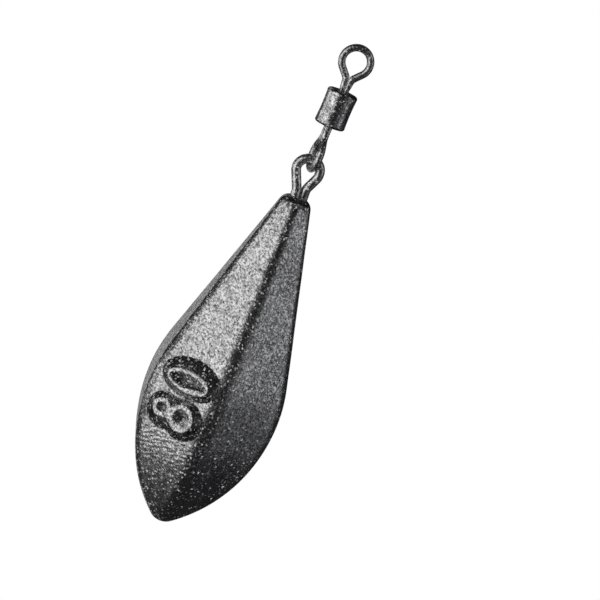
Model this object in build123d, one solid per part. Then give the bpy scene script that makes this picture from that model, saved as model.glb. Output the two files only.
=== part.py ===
"""Fishing sinker: a hexagonal pear-shaped lead that hangs from a rolling barrel swivel.

Frame: millimetres, +Z up along the hanging sinker, origin at the centre of the upper ring's eye, where the
line is tied.  The upper ring and the lead's wire loop lie in the XZ plane.
"""
import os
from math import asin, atan2, cos, degrees, hypot, radians, sin, tan

from build123d import *

# Swivel rings, two alike: one wire each, bent to a teardrop eye with both ends side by side in the barrel
ring_wire = 0.95
ring_bore = 2.9
ring_reach = 4.1
ring_leg_angle = 38.0
ring_leg_bend = 0.8
shank_width = 1.3
shank_slit = 0.08
neck_length = 1.2
head_length = 1.6
lower_ring_angle = 100.0

# Swivel barrel: a sleeve with a slight waist, both ends rolled in round the shanks
barrel_length = 5.2
barrel_diameter = 4.2
barrel_waist = 4.05
barrel_wall = 0.45
barrel_lip = 0.7
barrel_crown = 0.2
barrel_rim_chamfer = 0.3

# Wire loop cast into the lead, with its ends bent outwards inside the casting
loop_wire = 1.2
loop_bore = 2.0
loop_reach = 3.7
loop_leg_angle = 24.0
loop_leg_bend = 0.7
loop_leg_gap = 0.1
anchor_depth = 8.0
anchor_angle = 50.0
anchor_length = 2.4

# Lead: six sides that taper straight from the top to a round belly and curve in to a blunt tip
lead_length = 47.9
lead_across_flats = 18.15
lead_top_across_flats = 3.8
lead_tip_across_flats = 0.4
lead_widest_depth = 29.5
lead_belly_radius = 22.6
lead_side_angle = 60.0
lead_corner_cut = 0.25
lead_top_round = 1.2
lead_tip_round = 1.9

# Fits and cuts
shank_clearance = 0.05
head_clearance = 0.1
head_play = 0.05
link_clearance = 0.1
overrun = 0.5

# Places along the axis, worked out from the sizes above
ring_radius = (ring_bore + ring_wire) / 2
loop_radius = (loop_bore + loop_wire) / 2
barrel_centre = -(ring_reach + barrel_length / 2)
lower_eye_centre = 2 * barrel_centre
link_height = lower_eye_centre - ring_radius
loop_crown = link_height + (ring_wire + loop_wire) / 2 + link_clearance
loop_centre = loop_crown - loop_radius
lead_top = loop_centre - loop_reach

cavity_radius = barrel_waist / 2 - barrel_wall
hole_radius = shank_width / 2 + shank_clearance
head_radius = cavity_radius - head_clearance


def teardrop_half(eye_radius, leg_angle, bend_length, leg_offset, leg_end):
    """Centre line of half a teardrop eye about the origin: crown, side, bend inwards, then straight down."""
    crown = JernArc((0, eye_radius), (1, 0), eye_radius, -(90 + leg_angle))
    half_angle = radians(leg_angle / 2)
    knee_x = leg_offset + bend_length * sin(half_angle)
    knee_y = (crown @ 1).Y - ((crown @ 1).X - knee_x) / tan(2 * half_angle)
    ankle_y = knee_y - bend_length * cos(half_angle)
    leg = Polyline(crown @ 1, (knee_x, knee_y), (leg_offset, ankle_y), (leg_offset, leg_end))
    return [crown, *leg.edges()]


def round_wire(curves, diameter):
    """A round wire swept along half a centre line in XZ from its crown, joined to its mirror image."""
    path = Plane.XZ * Wire(curves)
    section = Plane(path @ 0, z_dir=path % 0) * Circle(diameter / 2)
    half = sweep(section, path=path, transition=Transition.RIGHT)
    return half + mirror(half, about=Plane.YZ)


def turned(*outline):
    """A solid turned about Z from the points (radius, height) of its half outline."""
    return revolve(make_face(Plane.XZ * Polyline(*outline, close=True)), Axis.Z)


def make_ring():
    """One swivel ring with its eye about the origin and its shank pointing down."""
    mouth = -ring_reach
    seat = mouth - barrel_lip - head_play
    leg_offset = shank_width / 4
    wire = round_wire(teardrop_half(ring_radius, ring_leg_angle, ring_leg_bend, leg_offset, seat), ring_wire)

    # Below the eye both legs are pressed together, down to the width of the barrel's hole
    swell = mouth + neck_length
    leg_outer = leg_offset + ring_wire / 2
    reach = ring_radius + ring_wire / 2 + overrun
    neck = turned((0, seat), (shank_width / 2, seat), (shank_width / 2, mouth), (leg_outer, swell),
                  (reach, swell), (reach, reach), (0, reach))
    head = Pos(Z=seat - head_length / 2) * Cylinder(head_radius, head_length)

    # The slit between the two ends of the wire runs up to the open eye
    slit_depth = overrun - seat
    slit = Pos(Z=-slit_depth / 2) * Box(shank_slit, 2 * reach, slit_depth)
    return (wire & neck) - slit + head


def make_barrel():
    """The sleeve about its own centre."""
    end = barrel_length / 2
    inner = end - barrel_lip
    crown = end - barrel_crown
    shoulder = crown - barrel_rim_chamfer
    rim_radius = barrel_diameter / 2
    crown_radius = rim_radius - barrel_rim_chamfer
    upper = [(rim_radius, shoulder), (crown_radius, crown), (hole_radius, end), (hole_radius, inner),
             (cavity_radius, inner)]
    lower = [(radius, -height) for radius, height in reversed(upper)]
    side = ThreePointArc(lower[-1], (barrel_waist / 2, 0), upper[0])
    rest = Polyline(*upper, *lower)
    return revolve(make_face(Plane.XZ * Wire([side, *rest.edges()])), Axis.Z)


def make_loop():
    """The wire loop about its eye's centre, with both legs run down into the lead."""
    leg_offset = (loop_wire + loop_leg_gap) / 2
    leg_end = -(loop_reach + anchor_depth)
    curves = teardrop_half(loop_radius, loop_leg_angle, loop_leg_bend, leg_offset, leg_end)
    tail = PolarLine((leg_offset, leg_end), anchor_length, anchor_angle - 90)
    return round_wire([*curves, tail], loop_wire)


def lead_slab(top_half, belly_half, belly_radius):
    """The lead's outline from side to side, with its top at height zero, run through along Y."""
    # The straight side leaves the top's edge as a tangent of the belly's arc
    centre = belly_half - belly_radius
    run = top_half - centre
    lean = asin(belly_radius / hypot(run, lead_widest_depth)) - atan2(run, lead_widest_depth)
    touch = (centre + belly_radius * cos(lean), belly_radius * sin(lean) - lead_widest_depth)
    side = Line((top_half, 0), touch)
    belly = JernArc(touch, side % 1, belly_radius, -degrees(lean))

    # The nose's arc leaves the belly upright and runs on into the tip's rounding, which ends at a small flat
    span = belly_half - lead_tip_across_flats / 2
    drop = lead_length - lead_widest_depth - lead_tip_round
    nose_radius = (span**2 + drop**2 - lead_tip_round**2) / (2 * (span - lead_tip_round))
    nose_turn = degrees(atan2(drop, nose_radius - span))
    nose = JernArc(belly @ 1, belly % 1, nose_radius, -nose_turn)
    tip = JernArc(nose @ 1, nose % 1, lead_tip_round, nose_turn - 90)

    right = Wire([side, belly, nose, tip])
    left = mirror(right, about=Plane.YZ)
    ends = [Line(left @ 0, right @ 0), Line(left @ 1, right @ 1)]
    outline = make_face(Curve([*right.edges(), *left.edges(), *ends]))
    outline = fillet(outline.vertices().group_by(Axis.Y)[-1], lead_top_round)
    return extrude(Plane.XZ * outline, lead_across_flats, both=True)


def make_lead():
    """The hexagonal casting, blunted along its six corners, before the wire's channel is cut."""
    sides = [lead_top_across_flats / 2, lead_across_flats / 2]
    slope = cos(radians(lead_side_angle / 2))
    corners = [side / slope - lead_corner_cut for side in sides]
    side_slab = lead_slab(*sides, lead_belly_radius)
    corner_slab = Rot(Z=lead_side_angle / 2) * lead_slab(*corners, lead_belly_radius * slope)
    lead = side_slab & corner_slab
    for step in (1, 2):
        lead &= Rot(Z=step * lead_side_angle) * (side_slab & corner_slab)
    return lead


upper_ring = make_ring()
lower_ring = Pos(Z=lower_eye_centre) * Rot(Z=lower_ring_angle) * Rot(X=180) * make_ring()
barrel = Pos(Z=barrel_centre) * make_barrel()
lead_loop = Pos(Z=loop_centre) * make_loop()
lead_body = Pos(Z=lead_top) * make_lead() - lead_loop

nodes = {
    "upper_ring": upper_ring,
    "barrel": barrel,
    "lower_ring": lower_ring,
    "lead_loop": lead_loop,
    "lead_body": lead_body,
}
os.makedirs("parts", exist_ok=True)
for name, shape in nodes.items():
    export_step(shape, f"parts/{name}.step")
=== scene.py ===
"""Looks of the fishing sinker: a coated hexagonal lead with a raised number, its wire loop and its swivel."""
from math import asin, atan2, ceil, cos, hypot, pi, radians, sin, tan

import bpy
import numpy as np
from mathutils import Matrix, Vector, noise


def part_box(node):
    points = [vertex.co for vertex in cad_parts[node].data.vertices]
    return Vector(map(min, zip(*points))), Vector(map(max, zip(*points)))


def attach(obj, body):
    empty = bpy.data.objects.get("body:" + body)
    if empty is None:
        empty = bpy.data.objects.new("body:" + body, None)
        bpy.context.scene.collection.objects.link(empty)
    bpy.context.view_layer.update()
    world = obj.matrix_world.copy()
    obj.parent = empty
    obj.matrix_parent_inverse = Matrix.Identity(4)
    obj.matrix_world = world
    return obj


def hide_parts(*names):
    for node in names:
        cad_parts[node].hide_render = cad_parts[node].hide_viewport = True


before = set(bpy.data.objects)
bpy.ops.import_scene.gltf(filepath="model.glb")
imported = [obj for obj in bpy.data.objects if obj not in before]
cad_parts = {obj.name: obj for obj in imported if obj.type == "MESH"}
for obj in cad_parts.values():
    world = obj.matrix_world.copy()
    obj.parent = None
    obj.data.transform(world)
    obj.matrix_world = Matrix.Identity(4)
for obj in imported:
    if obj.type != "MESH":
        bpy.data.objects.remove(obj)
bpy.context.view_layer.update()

MM = 0.001

# Places, read from the frame
barrel_low, barrel_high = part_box("barrel")
lead_low, lead_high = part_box("lead_body")
BARREL_CENTRE = (barrel_low[2] + barrel_high[2]) / 2
BARREL_LENGTH = barrel_high[2] - barrel_low[2]
BARREL_RIM = (barrel_high[0] - barrel_low[0]) / 2
LOWER_EYE = 2 * BARREL_CENTRE
LEAD_TOP = lead_high[2]
LEAD_LENGTH = lead_high[2] - lead_low[2]
LOOP_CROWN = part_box("lead_loop")[1][2]

# Swivel
RING_WIRE = 1.0 * MM
RING_RADIUS = 1.9 * MM
RING_LEG_ANGLES = (radians(42), radians(42))
RING_LEG_BEND = 1.2 * MM
SHANK_WIDTH = 1.3 * MM
SHANK_SLIT = 0.08 * MM
NECK_LENGTH = 1.2 * MM
SHANK_END = 0.9 * MM
LOWER_RING_ANGLE = radians(100)
BARREL_WAIST = 2.025 * MM
BARREL_HOLE = 0.72 * MM
BARREL_CROWN = 0.14 * MM
BARREL_RIM_ROUND = 0.38 * MM
BARREL_LIP = 0.6 * MM
# Painted shade on the barrel's rolled ends: how dark, and over what length it fades in
BARREL_END_PAINTED_SHADE = 0.92
BARREL_END_SHADE_EDGE = 0.12 * MM

# Wire loop in the lead: it leans a little, and its left leg lies in front of the right one
LOOP_WIRE = 1.3 * MM
LOOP_RADIUS = 1.6 * MM
LOOP_LEG_ANGLES = (radians(21), radians(26))
LOOP_LEG_BEND = 1.2 * MM
LOOP_LEG_OFFSET = 0.6 * MM
LOOP_RAISE = 0.13 * MM
LOOP_SUNK = 2.0 * MM
LOOP_EYE_SHIFT = -0.2 * MM
LOOP_FOOT_SHIFT = 0.08 * MM
LOOP_OVERLAP = 0.27 * MM

# Lead: half widths between flats, and its roundings.  The radius of the three corners of the two front sides
# grows with the half width, and no corner's radius is more than a set share of the half width.
SIDE_COUNT = 6
SIDE_TURN = 2 * pi / SIDE_COUNT
LEAD_TOP_HALF = 1.9 * MM
LEAD_BELLY_HALF = 9.075 * MM
LEAD_TIP_HALF = 0.1 * MM
LEAD_BELLY_DEPTH = 29.5 * MM
LEAD_BELLY_RADIUS = 22.6 * MM
LEAD_TOP_ROUND = 1.3 * MM
LEAD_TIP_ROUND = 1.95 * MM
FRONT_CORNER_ROUND = 0.9 * MM
FRONT_CORNER_GROWTH = 0.24
FLANK_CORNER_ROUND = 0.55 * MM
FLANK_CORNER_GROWTH = 0.19
BACK_CORNER_ROUND = 2.0 * MM
CORNER_LIMIT = 0.94
# Painted shade on the top round the loop: down to a depth below the top, fading in over an edge, and how dark
# it gets
TOP_SHADE_DEPTH = 2.0 * MM
TOP_SHADE_EDGE = 0.8 * MM
TOP_PAINTED_SHADE = 0.75
LEAD_UNEVEN = 0.025 * MM
LEAD_UNEVEN_SIZE = 4.0 * MM

# The raised number, on the side that faces the camera's left: each sign climbs from a foot line to a crest.
# An oval is its centre across the side and below the lead's top, and its half axes across and along.
NUMBER_SIDE = radians(240)
NUMBER_SIDE_REACH = 0.86
NUMBER_HEIGHT = 1.0 * MM
CREST_BLUNT = 0.07
# Painted shade on the number's flanks and pits: how soon it sets in below the crest, and how dark it gets;
# each sign also gives a share of it for its pits
FLANK_SHADE_EDGE = 0.1
FLANK_PAINTED_SHADE = 0.52
FOOT_LEAST = 0.01 * MM
PIT_CURVE = 1.35
ZERO = {
    "crests": [(0.35 * MM, 26.92 * MM, 3.08 * MM, 1.24 * MM)],
    "feet": [(0.2 * MM, 26.6 * MM, 4.4 * MM, 2.62 * MM)],
    "seam": [(0.51 * MM, 27.95 * MM), (2.76 * MM, 27.5 * MM)],
    "crest_width": 0.06 * MM,
    "pit_painted_shade": 1.2,
}
EIGHT = {
    "crests": [(-1.68 * MM, 31.51 * MM, 1.1 * MM, 0.98 * MM), (1.45 * MM, 31.7 * MM, 1.6 * MM, 1.6 * MM)],
    "feet": [(-1.64 * MM, 31.92 * MM, 2.62 * MM, 2.46 * MM), (1.3 * MM, 31.95 * MM, 2.9 * MM, 2.78 * MM)],
    "seam": [(-0.54 * MM, 32.3 * MM), (-0.04 * MM, 32.4 * MM)],
    "crest_width": 0.2 * MM,
    "pit_painted_shade": 0.12,
}

# Fine ripples across the number's side, mostly below the number: they fade in between the first two depths
# and out between the last two
RIPPLE_HEIGHT = 0.055 * MM
RIPPLE_SLANT = radians(20)
RIPPLE_LENGTH = 1.0 * MM
RIPPLE_PITCH = 0.3 * MM
RIPPLE_DEPTHS = (31.5 * MM, 34.5 * MM, 38.5 * MM, 41.5 * MM)

# Fineness of the meshes: lengths between points, and numbers of points
LEAD_STEP = 0.32 * MM
LEAD_FINE_STEP = 0.12 * MM
LEAD_END_STEP = 2 * LEAD_FINE_STEP
NOSE_FINE_SHARE = 0.6
NUMBER_SIDE_POINTS = 100
PLAIN_SIDE_POINTS = 26
NUMBER_CORNER_POINTS = 24
PLAIN_CORNER_POINTS = 11
OVAL_POINTS = 160
SEAM_POINTS = 40
WIRE_STEP = 0.1 * MM
RING_POINTS = 28
LOOP_POINTS = 32
BARREL_STEP = 0.1 * MM
BARREL_FINE_STEP = BARREL_STEP / 2
BARREL_POINTS = 96
WAIST_POINTS = 14

# Coats, with scales in cells per metre.  The grain's short streaks run down and to the right across the
# number's side.  Each flake of the coat has its own tilt, and a share of them glints.
GRAIN_TURN = (0, radians(34), radians(-30))
GRAIN_STRETCH = (2.0, 1.0, 1.0)
GRAIN_SCALE = 4200
GRAIN_DETAIL = 3
GRAIN_ROUGHNESS = 0.7
CLOUD_SCALE = 260
CLOUD_DETAIL = 2
CLOUD_SHARE = 0.16
TONE_RANGE = (0.465, 0.695)
FLAKE_SCALE = 4700
FLAKE_TILT = (4.0, 4.0, 4.0)
FLAKE_TILT_POWER = 1.8
FLAKE_IOR = 4.0
FLAKE_ROUGHNESS = 0.16
GLINT_RANGE = (0.3, 0.4)
SPECK_ROUGHNESS = 0.8
RANDOM_MIDDLE = (0.5, 0.5, 0.5)
BLACK = (0, 0, 0, 1)
WHITE = (1, 1, 1, 1)

# Stage
FLOOR_RADIUS = 0.9
FLOOR_HEIGHT = -0.6
FLOOR_POINTS = 96
FLOOR_COLOUR = (0.85, 0.85, 0.85, 1)
FLOOR_ROUGHNESS = 0.9
FLOOR_GLOW = 0.8
STUDIO_DIM = (0.018, 0.018, 0.0195, 1)
LAMP_DISTANCE = 0.5
PLAIN_LIGHT = (1, 1, 1)
COOL_LIGHT = (0.958, 0.964, 1)

# Camera
CAMERA_AZIMUTH = radians(-7)
CAMERA_ELEVATION = radians(10)
CAMERA_ROLL = radians(23.43)
CAMERA_DISTANCE = 390.7 * MM
CAMERA_ASIDE = 5.64 * MM
CAMERA_HEIGHT = -32.04 * MM
CAMERA_CLIP = 10 * MM
SENSOR_WIDTH = 36
VIEW_WIDTH = 79.8 * MM


def mesh_piece(name, vertices, faces, body, node):
    """A smooth mesh that rides on a body and stands for its CAD node, which it hides."""
    mesh = bpy.data.meshes.new(name)
    mesh.from_pydata([tuple(v) for v in vertices], [], faces)
    mesh.shade_smooth()
    piece = bpy.data.objects.new(name, mesh)
    bpy.context.collection.objects.link(piece)
    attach(piece, body)
    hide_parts(node)
    return piece


def mark_painted_shade(piece, values):
    """How much painted shade darkens the finish at each vertex, for the finish to read."""
    marks = piece.data.attributes.new("painted_shade", "FLOAT", "POINT")
    marks.data.foreach_set("value", values)


def ring_faces(rows, columns):
    """Quads between neighbouring rows of vertices, where each row is a closed ring."""
    faces = []
    for row in range(rows - 1):
        here, below = row * columns, (row + 1) * columns
        for column in range(columns):
            after = (column + 1) % columns
            faces.append((here + column, here + after, below + after, below + column))
    return faces


def turned_over(faces):
    """The same faces, seen from their other side."""
    return [tuple(reversed(face)) for face in faces]


def arc(centre, radius, start, end, step):
    """Points of an arc in a plane, about one step apart."""
    count = max(2, ceil(abs(end - start) * radius / step) + 1)
    turns = np.linspace(start, end, count)
    return [(centre[0] + radius * cos(turn), centre[1] + radius * sin(turn)) for turn in turns]


def line(start, end, step):
    """Points of a straight line in a plane, about one step apart."""
    across, along = end[0] - start[0], end[1] - start[1]
    count = max(2, ceil(hypot(across, along) / step) + 1)
    return [(start[0] + across * t, start[1] + along * t) for t in np.linspace(0, 1, count)]


def joined(*stretches):
    """Stretches of points end to end, without doubled points."""
    points = list(stretches[0])
    for stretch in stretches[1:]:
        points += stretch[1:]
    return np.array(points)


# The lead

def lead_outline():
    """Half width between flats and height below the top, from the middle of the top to the tip."""
    centre_x = LEAD_BELLY_HALF - LEAD_BELLY_RADIUS
    run = LEAD_TOP_HALF - centre_x
    lean = asin(LEAD_BELLY_RADIUS / hypot(run, LEAD_BELLY_DEPTH)) - atan2(run, LEAD_BELLY_DEPTH)
    belly_centre = (centre_x, -LEAD_BELLY_DEPTH)
    touch = (centre_x + LEAD_BELLY_RADIUS * cos(lean), LEAD_BELLY_RADIUS * sin(lean) - LEAD_BELLY_DEPTH)

    rim_x = LEAD_TOP_HALF - LEAD_TOP_ROUND * (1 - sin(lean)) / cos(lean)
    rim = arc((rim_x, -LEAD_TOP_ROUND), LEAD_TOP_ROUND, pi / 2, lean, LEAD_FINE_STEP)

    drop = LEAD_LENGTH - LEAD_BELLY_DEPTH - LEAD_TIP_ROUND
    span = LEAD_BELLY_HALF - LEAD_TIP_HALF
    nose_radius = (span**2 + drop**2 - LEAD_TIP_ROUND**2) / (2 * (span - LEAD_TIP_ROUND))
    nose_centre = (LEAD_BELLY_HALF - nose_radius, -LEAD_BELLY_DEPTH)
    tip_turn = atan2(-drop, nose_radius - span)
    fine_turn = tip_turn * NOSE_FINE_SHARE
    tip_centre = (LEAD_TIP_HALF, LEAD_TIP_ROUND - LEAD_LENGTH)
    tip = arc(tip_centre, LEAD_TIP_ROUND, tip_turn, -pi / 2, LEAD_FINE_STEP)

    return joined(
        line((0, 0), rim[0], LEAD_END_STEP),
        rim,
        line(rim[-1], touch, LEAD_STEP),
        arc(belly_centre, LEAD_BELLY_RADIUS, lean, 0, LEAD_FINE_STEP),
        arc(nose_centre, nose_radius, 0, fine_turn, LEAD_FINE_STEP),
        arc(nose_centre, nose_radius, fine_turn, tip_turn, LEAD_STEP),
        tip,
        line(tip[-1], (0, -LEAD_LENGTH), LEAD_END_STEP),
    )


def corner_rounds(half):
    """The radius of each corner at each half width, in turn from the front corner."""
    most = CORNER_LIMIT * half
    front = np.minimum(FRONT_CORNER_ROUND + FRONT_CORNER_GROWTH * half, most)
    flank = np.minimum(FLANK_CORNER_ROUND + FLANK_CORNER_GROWTH * half, most)
    back = np.minimum(BACK_CORNER_ROUND, most)
    return [front, flank, back, back, back, flank]


def hexagon_rings(half):
    """Places x and y round the lead at each half width: the number's side first, then the corner after it."""
    corners = corner_rounds(half)
    columns_x = []
    columns_y = []
    for side, corner in enumerate(corners):
        has_number = side == 0
        by_number = side in (0, SIDE_COUNT - 1)
        normal = NUMBER_SIDE + side * SIDE_TURN
        share = np.linspace(0, 1, NUMBER_SIDE_POINTS if has_number else PLAIN_SIDE_POINTS)[None, :]
        start = (corners[side - 1] - half) * tan(SIDE_TURN / 2)
        end = (half - corner) * tan(SIDE_TURN / 2)
        flat = start + (end - start) * share
        columns_x.append(half * cos(normal) - flat * sin(normal))
        columns_y.append(half * sin(normal) + flat * cos(normal))

        bends = np.linspace(0, SIDE_TURN, NUMBER_CORNER_POINTS if by_number else PLAIN_CORNER_POINTS)
        turn = normal + bends[None, 1:-1]
        middle = normal + SIDE_TURN / 2
        hub = (half - corner) / cos(SIDE_TURN / 2)
        columns_x.append(hub * cos(middle) + corner * np.cos(turn))
        columns_y.append(hub * sin(middle) + corner * np.sin(turn))
    return np.hstack(columns_x), np.hstack(columns_y)


def oval_depth(oval, across, depth):
    """How deep inside an oval a place lies, less than zero outside it."""
    centre_w, centre_d, half_w, half_d = oval
    w, d = across - centre_w, depth - centre_d
    reach = np.full(across.shape, np.inf)
    for turn in np.linspace(0, 2 * pi, OVAL_POINTS, endpoint=False):
        reach = np.minimum(reach, np.hypot(w - half_w * cos(turn), d - half_d * sin(turn)))
    return np.where(np.hypot(w / half_w, d / half_d) < 1, reach, -reach)


def sign_relief(across, depth, crests, feet, seam, crest_width, pit_painted_shade):
    """Height and painted shade of one sign: clear crests and a short seam, painted shade on the flanks, a pit
    in each crest with its own share of painted shade.
    """
    to_foot = np.maximum.reduce([oval_depth(oval, across, depth) for oval in feet])
    in_pits = [oval_depth(oval, across, depth) for oval in crests]
    to_crest = np.minimum.reduce([np.abs(pit) for pit in in_pits])
    for share in np.linspace(0, 1, SEAM_POINTS):
        w = seam[0][0] + share * (seam[1][0] - seam[0][0])
        d = seam[0][1] + share * (seam[1][1] - seam[0][1])
        to_crest = np.minimum(to_crest, np.hypot(across - w, depth - d))
    slack = np.maximum(to_crest - crest_width, 0)
    fall = slack / (slack + np.maximum(to_foot, FOOT_LEAST))
    for oval, pit in zip(crests, in_pits):
        fall = np.where(pit > 0, (slack / (min(oval[2:]) - crest_width))**PIT_CURVE, fall)
    rise = np.where(to_foot > 0, 1 + CREST_BLUNT - np.hypot(fall, CREST_BLUNT), 0)
    painted_shade = np.where(to_foot > 0, np.clip((fall - CREST_BLUNT) / FLANK_SHADE_EDGE, 0, 1), 0)
    painted_shade = np.where(np.maximum.reduce(in_pits) > 0, pit_painted_shade * painted_shade, painted_shade)
    return NUMBER_HEIGHT * rise, FLANK_PAINTED_SHADE * painted_shade


def ripples(across, depth):
    """Height of the ripples."""
    strength = np.interp(depth, RIPPLE_DEPTHS, (0, 1, 1, 0))
    along = (across * cos(RIPPLE_SLANT) - depth * sin(RIPPLE_SLANT)) / RIPPLE_LENGTH
    over = (across * sin(RIPPLE_SLANT) + depth * cos(RIPPLE_SLANT)) / RIPPLE_PITCH
    waves = [noise.noise((a, o, 0)) for a, o in zip(along.ravel(), over.ravel())]
    return RIPPLE_HEIGHT * strength * np.reshape(waves, across.shape)


def roughen(points):
    """Move each point in or out a little, as on an uneven casting."""
    for point in points:
        swell = LEAD_UNEVEN * noise.noise(Vector(point) / LEAD_UNEVEN_SIZE)
        reach = hypot(point[0], point[1])
        point[:2] *= 1 + swell / max(reach, LEAD_TOP_HALF)


def make_lead():
    """The casting: rounded hexagons along its outline, with the number raised on one side."""
    outline = lead_outline()[1:-1]
    half = outline[:, :1]
    x, y = hexagon_rings(half)
    z = np.broadcast_to(outline[:, 1:], x.shape)

    # The number and the ripples stand out along the normal of the number's side
    facing = x * cos(NUMBER_SIDE) + y * sin(NUMBER_SIDE)
    across = y * cos(NUMBER_SIDE) - x * sin(NUMBER_SIDE)
    zero, zero_painted_shade = sign_relief(across, -z, **ZERO)
    eight, eight_painted_shade = sign_relief(across, -z, **EIGHT)
    number = np.maximum(zero, eight)
    on_side = facing > NUMBER_SIDE_REACH * half
    relief = np.where(on_side, number + ripples(across, -z), 0)
    x = x + relief * cos(NUMBER_SIDE)
    y = y + relief * sin(NUMBER_SIDE)

    # Painted shade darkens the number's flanks and pits, and the top round the loop
    number_painted_shade = np.where(on_side & (number > 0), np.where(zero > eight, zero_painted_shade, eight_painted_shade), 0)
    top_painted_shade = TOP_PAINTED_SHADE * np.clip((TOP_SHADE_DEPTH + z) / TOP_SHADE_EDGE, 0, 1)
    painted_shade = np.maximum(number_painted_shade, top_painted_shade)

    # The rings of vertices are closed by fans at the top and at the tip
    rows, columns = x.shape
    points = np.stack([x, y, z + LEAD_TOP], axis=-1).reshape(-1, 3)
    roughen(points)
    vertices = [*points, (0, 0, LEAD_TOP), (0, 0, LEAD_TOP - LEAD_LENGTH)]
    crown, tip = len(points), len(points) + 1
    base = (rows - 1) * columns
    faces = turned_over(ring_faces(rows, columns))
    faces += [(crown, c, (c + 1) % columns) for c in range(columns)]
    faces += [(tip, base + (c + 1) % columns, base + c) for c in range(columns)]
    piece = mesh_piece("lead_casting", vertices, faces, "lead", "lead_body")
    # Painted shade for the finish to read, with the crown as dark as the top
    mark_painted_shade(piece, [*painted_shade.ravel(), TOP_PAINTED_SHADE, 0])
    return piece


# Wires

def teardrop_half(eye_radius, leg_angle, bend, leg_offset, leg_end):
    """Centre line of half a teardrop eye about the origin in XZ, from its crown down to the leg's end."""
    slant = (eye_radius * cos(leg_angle) - leg_offset) / sin(leg_angle)
    straight = slant - bend * tan(leg_angle / 2)
    crown = arc((0, 0), eye_radius, pi / 2, -leg_angle, WIRE_STEP)
    side_end = (crown[-1][0] - straight * sin(leg_angle), crown[-1][1] - straight * cos(leg_angle))
    side = line(crown[-1], side_end, WIRE_STEP)
    bend_centre = (side_end[0] + bend * cos(leg_angle), side_end[1] - bend * sin(leg_angle))
    turn = arc(bend_centre, bend, pi - leg_angle, pi, WIRE_STEP)
    leg = line(turn[-1], (turn[-1][0], leg_end), WIRE_STEP)
    return joined(crown, side, turn, leg)


def teardrop(eye_radius, leg_angles, bend, leg_offset, leg_end):
    """Centre line of a whole eye, from the left leg's end to the right one's, and the side of each point."""
    left, right = [teardrop_half(eye_radius, angle, bend, leg_offset, leg_end) for angle in leg_angles]
    path = np.vstack([left[::-1] * (-1, 1), right[1:]])
    side = np.where(np.arange(len(path)) < len(left), -1.0, 1.0)[:, None]
    return path, side


def tube(path, diameter, points):
    """Vertices of a round wire along a centre line in XZ, one ring of vertices for each point of the line."""
    tangent = np.gradient(path, axis=0)
    tangent /= np.linalg.norm(tangent, axis=1)[:, None]
    turn = np.linspace(0, 2 * pi, points, endpoint=False)[None, :]
    radius = diameter / 2
    x = path[:, :1] - tangent[:, 1:] * radius * np.cos(turn)
    y = np.broadcast_to(radius * np.sin(turn), x.shape)
    z = path[:, 1:] + tangent[:, :1] * radius * np.cos(turn)
    return np.stack([x, y, z], axis=-1)


def wire_faces(rows, points):
    """Faces of a tube with both ends closed."""
    ends = [tuple(range(points)), tuple(reversed(range((rows - 1) * points, rows * points)))]
    return [*ring_faces(rows, points), *ends]


def ring_vertices():
    """One swivel ring with its eye about the origin: the legs are pressed together below the eye."""
    mouth = BARREL_CENTRE + BARREL_LENGTH / 2
    leg_offset = SHANK_WIDTH / 4
    path, side = teardrop(RING_RADIUS, RING_LEG_ANGLES, RING_LEG_BEND, leg_offset, mouth - SHANK_END)
    vertices = tube(path, RING_WIRE, RING_POINTS)
    x, y, z = vertices[..., 0], vertices[..., 1], vertices[..., 2]
    below = z < 0
    x = np.where(below, side * np.maximum(side * x, SHANK_SLIT / 2), x)
    taper = np.clip((z - mouth) / NECK_LENGTH, 0, 1)
    widest = SHANK_WIDTH / 2 + taper * (leg_offset + RING_WIRE / 2 - SHANK_WIDTH / 2)
    reach = np.hypot(x, y)
    pressed = below & (z < mouth + NECK_LENGTH) & (reach > widest)
    shrink = np.where(pressed, widest / np.maximum(reach, SHANK_SLIT), 1)
    return np.stack([x * shrink, y * shrink, z], axis=-1)


def make_rings():
    """Both rings: the lower one hangs upside down under the barrel, turned round the axis."""
    sections = ring_vertices()
    faces = wire_faces(len(sections), RING_POINTS)
    upper = sections.reshape(-1, 3)
    hung = Matrix.Rotation(LOWER_RING_ANGLE, 4, "Z") @ Matrix.Rotation(pi, 4, "X")
    lower = [Vector((0, 0, LOWER_EYE)) + hung @ Vector(v) for v in upper]
    return [
        mesh_piece("upper_ring_wire", upper, faces, "upper_ring", "upper_ring"),
        mesh_piece("lower_ring_wire", lower, faces, "lower_ring", "lower_ring"),
    ]


def make_loop():
    """The lead's wire loop, with its legs run a little way into the casting."""
    centre = LOOP_CROWN + LOOP_RAISE - LOOP_WIRE / 2 - LOOP_RADIUS
    drop = centre - LEAD_TOP
    path, side = teardrop(LOOP_RADIUS, LOOP_LEG_ANGLES, LOOP_LEG_BEND, LOOP_LEG_OFFSET, -drop - LOOP_SUNK)
    vertices = tube(path, LOOP_WIRE, LOOP_POINTS)
    down = np.clip(-path[:, 1:] / drop, 0, 1)
    vertices[..., 0] += LOOP_EYE_SHIFT + down * (LOOP_FOOT_SHIFT - LOOP_EYE_SHIFT)
    vertices[..., 1] += side * LOOP_OVERLAP * down**2
    vertices[..., 2] += centre
    faces = wire_faces(len(path), LOOP_POINTS)
    return mesh_piece("lead_loop_wire", vertices.reshape(-1, 3), faces, "lead", "lead_loop")


# The barrel

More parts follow.
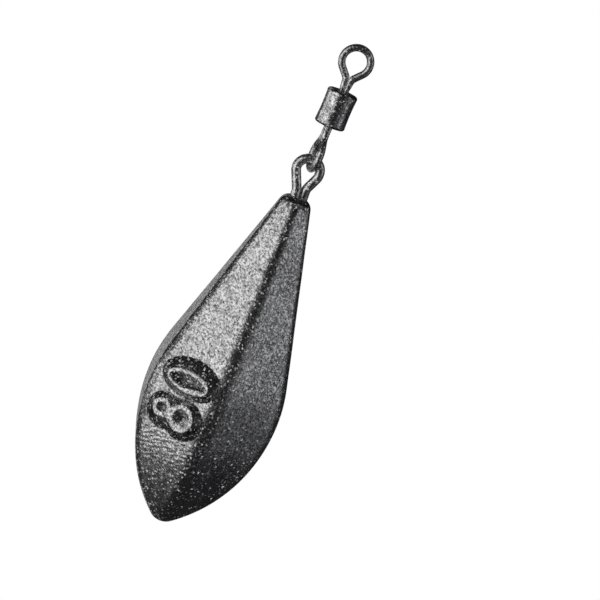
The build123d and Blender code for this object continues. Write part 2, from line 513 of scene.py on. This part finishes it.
def make_barrel():
    """The sleeve: a waisted side, rounded rims and domed ends rolled in round the shanks."""
    end = BARREL_LENGTH / 2
    shoulder = end - BARREL_CROWN - BARREL_RIM_ROUND
    swell = BARREL_RIM - BARREL_WAIST
    waist = [(BARREL_WAIST + swell * (z / shoulder)**2, z) for z in np.linspace(0, shoulder, WAIST_POINTS)]
    rim = arc((BARREL_RIM - BARREL_RIM_ROUND, shoulder), BARREL_RIM_ROUND, 0, pi / 2, BARREL_FINE_STEP)
    lip_x = BARREL_HOLE + BARREL_CROWN
    lip = line(rim[-1], (lip_x, end), BARREL_STEP)
    edge = arc((lip_x, end - BARREL_CROWN), BARREL_CROWN, pi / 2, pi, BARREL_FINE_STEP)
    bore = line(edge[-1], (BARREL_HOLE, end - BARREL_LIP), BARREL_STEP)
    upper = joined(waist, rim, lip, edge, bore)
    outline = np.vstack([upper[::-1], upper[1:] * (1, -1)])

    turns = np.linspace(0, 2 * pi, BARREL_POINTS, endpoint=False)
    vertices = [(r * cos(turn), r * sin(turn), z + BARREL_CENTRE) for r, z in outline for turn in turns]
    faces = turned_over(ring_faces(len(outline), BARREL_POINTS))
    piece = mesh_piece("barrel_sleeve", vertices, faces, "barrel", "barrel")
    # Painted shade darkens the rolled ends
    ends = np.clip((np.abs(outline[:, 1]) - shoulder) / BARREL_END_SHADE_EDGE, 0, 1)
    mark_painted_shade(piece, np.repeat(BARREL_END_PAINTED_SHADE * ends, BARREL_POINTS))
    return piece


# Finishes

def shader(name):
    """A new node material, with its node tree and its shader."""
    material = bpy.data.materials.new(name)
    material.use_nodes = True
    return material, material.node_tree, material.node_tree.nodes["Principled BSDF"]


def add(tree, kind, inputs=None, **settings):
    """A node with its settings, and with its inputs set to values or linked to other nodes' outputs."""
    node = tree.nodes.new(kind)
    for key, value in settings.items():
        setattr(node, key, value)
    for key, value in (inputs or {}).items():
        if isinstance(value, bpy.types.NodeSocket):
            tree.links.new(value, node.inputs[key])
        else:
            node.inputs[key].default_value = value
    return node


def mix(tree, share, first, second, blend_type="MIX"):
    """A share of the second colour over the first."""
    # A Mix node's colours are its inputs 6 and 7 and its output 2
    inputs = {0: share, 6: first, 7: second}
    return add(tree, "ShaderNodeMix", inputs, data_type="RGBA", blend_type=blend_type).outputs[2]


def ramp(tree, value, start, end, low=0.0, high=1.0):
    """A value that runs from low to high while another runs from start to end."""
    inputs = {"Value": value, "From Min": start, "From Max": end, "To Min": low, "To Max": high}
    return add(tree, "ShaderNodeMapRange", inputs).outputs[0]


def number_math(tree, operation, *values):
    """The result of an operation on numbers."""
    return add(tree, "ShaderNodeMath", dict(enumerate(values)), operation=operation).outputs[0]


def vector_math(tree, operation, inputs):
    """The result of an operation on vectors."""
    return add(tree, "ShaderNodeVectorMath", inputs, operation=operation).outputs[0]


def grain(tree, place, dark, light):
    """Height of a sandy grain in short streaks, and its colour, darkened by painted shade where the mesh
    marks it.
    """
    streaks = {"Vector": place, "Rotation": GRAIN_TURN, "Scale": GRAIN_STRETCH}
    slant = add(tree, "ShaderNodeMapping", streaks, vector_type="TEXTURE").outputs[0]
    fine = {"Vector": slant, "Scale": GRAIN_SCALE, "Detail": GRAIN_DETAIL, "Roughness": GRAIN_ROUGHNESS}
    sand = add(tree, "ShaderNodeTexNoise", fine).outputs["Fac"]
    coarse = {"Vector": place, "Scale": CLOUD_SCALE, "Detail": CLOUD_DETAIL}
    cloud = add(tree, "ShaderNodeTexNoise", coarse).outputs["Fac"]
    tone = number_math(tree, "MULTIPLY_ADD", cloud, CLOUD_SHARE, sand)
    colour = mix(tree, ramp(tree, tone, *TONE_RANGE), dark, light)
    painted_shade = add(tree, "ShaderNodeAttribute", attribute_name="painted_shade").outputs["Fac"]
    return sand, mix(tree, painted_shade, colour, BLACK, "MULTIPLY")


def flakes(tree, place):
    """A chance for each flake, and the way it faces: each is tipped its own way, and some of them steeply."""
    cells = add(tree, "ShaderNodeTexVoronoi", {"Vector": place, "Scale": FLAKE_SCALE})
    chances = add(tree, "ShaderNodeSeparateColor", {"Color": cells.outputs["Color"]}).outputs
    steepness = number_math(tree, "POWER", chances["Red"], FLAKE_TILT_POWER)
    angle = add(tree, "ShaderNodeTexWhiteNoise", {"Vector": cells.outputs["Position"]}).outputs["Color"]
    odd = vector_math(tree, "SUBTRACT", {0: angle, 1: RANDOM_MIDDLE})
    swing = vector_math(tree, "SCALE", {0: odd, "Scale": steepness})
    lay = add(tree, "ShaderNodeNewGeometry").outputs["Normal"]
    tipped = vector_math(tree, "MULTIPLY_ADD", {0: swing, 1: FLAKE_TILT, 2: lay})
    return chances["Blue"], vector_math(tree, "NORMALIZE", {0: tipped})


def metal(name, dark, light, roughness, grain_depth, specks):
    """A coated metal: a sandy grain under bright flakes that glint, a share of them rough white specks."""
    material, tree, surface = shader(name)
    place = add(tree, "ShaderNodeTexCoord").outputs["Object"]
    sand, coat = grain(tree, place, dark, light)
    bump = add(tree, "ShaderNodeBump", {"Height": sand, "Distance": grain_depth, "Strength": 1.0})
    chance, facing = flakes(tree, place)
    speck = ramp(tree, chance, specks, specks / 2)

    tree.links.new(mix(tree, speck, coat, WHITE), surface.inputs["Base Color"])
    tree.links.new(ramp(tree, speck, 0, 1, roughness, SPECK_ROUGHNESS), surface.inputs["Roughness"])
    tree.links.new(bump.outputs[0], surface.inputs["Normal"])
    tree.links.new(ramp(tree, chance, *GLINT_RANGE), surface.inputs["Coat Weight"])
    tree.links.new(facing, surface.inputs["Coat Normal"])
    surface.inputs["Coat IOR"].default_value = FLAKE_IOR
    surface.inputs["Coat Roughness"].default_value = FLAKE_ROUGHNESS
    surface.inputs["Metallic"].default_value = 1.0
    return material


# Floor, lights and camera

def make_floor():
    """A pale round floor, well below the hanging sinker."""
    bpy.ops.mesh.primitive_circle_add(vertices=FLOOR_POINTS, radius=FLOOR_RADIUS, fill_type="NGON",
                                      location=(0, 0, FLOOR_HEIGHT))
    floor = bpy.context.object
    floor.name = "floor"
    material, _, surface = shader("floor_pale")
    surface.inputs["Base Color"].default_value = FLOOR_COLOUR
    surface.inputs["Roughness"].default_value = FLOOR_ROUGHNESS
    surface.inputs["Emission Color"].default_value = WHITE
    surface.inputs["Emission Strength"].default_value = FLOOR_GLOW
    floor.data.materials.append(material)
    floor.visible_glossy = False
    floor.visible_diffuse = False


def make_world():
    """White behind the sinker, and a dim even light from all round."""
    world = bpy.data.worlds.new("studio")
    bpy.context.scene.world = world
    world.use_nodes = True
    tree = world.node_tree
    seen = add(tree, "ShaderNodeLightPath").outputs["Is Camera Ray"]
    colour = mix(tree, seen, STUDIO_DIM, WHITE)
    tree.links.new(colour, tree.nodes["Background"].inputs["Color"])


def softbox(name, azimuth, elevation, width, height, radiance, distance=LAMP_DISTANCE, tint=PLAIN_LIGHT):
    """A rectangular lamp that faces the belly, placed by its angles in degrees from the camera's side."""
    aim = Vector((0, 0, LEAD_TOP - LEAD_BELLY_DEPTH))
    around = CAMERA_AZIMUTH + radians(azimuth)
    up = radians(elevation)
    offset = Vector((sin(around) * cos(up), -cos(around) * cos(up), sin(up))) * distance
    lamp = bpy.data.lights.new(name, "AREA")
    lamp.shape = "RECTANGLE"
    lamp.size = width
    lamp.size_y = height
    lamp.energy = radiance * pi * width * height
    lamp.color = tint
    holder = bpy.data.objects.new(name, lamp)
    holder.location = aim + offset
    holder.rotation_euler = offset.to_track_quat("Z", "Y").to_euler()
    bpy.context.collection.objects.link(holder)


def make_camera():
    """A long lens at the photograph's angle, rolled so that the hanging sinker leans to the right."""
    right = Vector((cos(CAMERA_AZIMUTH), sin(CAMERA_AZIMUTH), 0))
    front = Vector((sin(CAMERA_AZIMUTH), -cos(CAMERA_AZIMUTH), 0))
    back = front * cos(CAMERA_ELEVATION) + Vector((0, 0, sin(CAMERA_ELEVATION)))
    up = Vector((0, 0, cos(CAMERA_ELEVATION))) - front * sin(CAMERA_ELEVATION)
    frame_right = right * cos(CAMERA_ROLL) + up * sin(CAMERA_ROLL)
    frame_up = up * cos(CAMERA_ROLL) - right * sin(CAMERA_ROLL)
    lens = bpy.data.cameras.new("camera")
    lens.sensor_width = SENSOR_WIDTH
    lens.lens = SENSOR_WIDTH * CAMERA_DISTANCE / VIEW_WIDTH
    lens.clip_start = CAMERA_CLIP
    camera = bpy.data.objects.new("camera", lens)
    axes = Matrix((frame_right, frame_up, back)).transposed()
    place = right * CAMERA_ASIDE + Vector((0, 0, CAMERA_HEIGHT)) + back * CAMERA_DISTANCE
    camera.matrix_world = Matrix.Translation(place) @ axes.to_4x4()
    bpy.context.collection.objects.link(camera)
    bpy.context.scene.camera = camera


lead = make_lead()
loop = make_loop()
rings = make_rings()
barrel = make_barrel()

lead_finish = metal("lead_coat", dark=(0.14, 0.14, 0.143, 1), light=(0.74, 0.74, 0.742, 1),
                    roughness=0.3, grain_depth=0.05 * MM, specks=0.05)
loop_finish = metal("loop_coat", dark=(0.36, 0.36, 0.365, 1), light=WHITE,
                    roughness=0.3, grain_depth=0.016 * MM, specks=0.05)
ring_finish = metal("swivel_plate", dark=(0.29, 0.29, 0.295, 1), light=(0.88, 0.88, 0.89, 1),
                    roughness=0.3, grain_depth=0.04 * MM, specks=0.06)
barrel_finish = metal("barrel_plate", dark=(0.24, 0.24, 0.245, 1), light=(0.92, 0.92, 0.93, 1),
                      roughness=0.24, grain_depth=0.035 * MM, specks=0.08)
lead.data.materials.append(lead_finish)
loop.data.materials.append(loop_finish)
barrel.data.materials.append(barrel_finish)
for ring in rings:
    ring.data.materials.append(ring_finish)

make_floor()
make_world()
softbox("left_softbox", azimuth=-48.5, elevation=-2, width=0.39, height=0.74, radiance=1.09, distance=0.45)
softbox("left_kicker", azimuth=-97, elevation=-7, width=0.24, height=0.2, radiance=1.15)
softbox("right_fill", azimuth=77, elevation=22, width=0.18, height=0.38, radiance=0.67, tint=COOL_LIGHT)
softbox("front_left", azimuth=-19, elevation=8, width=0.14, height=0.5, radiance=0.1)
softbox("front_right", azimuth=50, elevation=8, width=0.2, height=0.4, radiance=0.09)
softbox("right_low", azimuth=77, elevation=-16, width=0.18, height=0.28, radiance=0.18, tint=COOL_LIGHT)
softbox("back_light", azimuth=-163, elevation=-4, width=0.12, height=0.8, radiance=0.6)
softbox("low_fill", azimuth=-58, elevation=-62, width=0.3, height=0.3, radiance=0.12)
bpy.context.scene.view_settings.view_transform = "Standard"
make_camera()
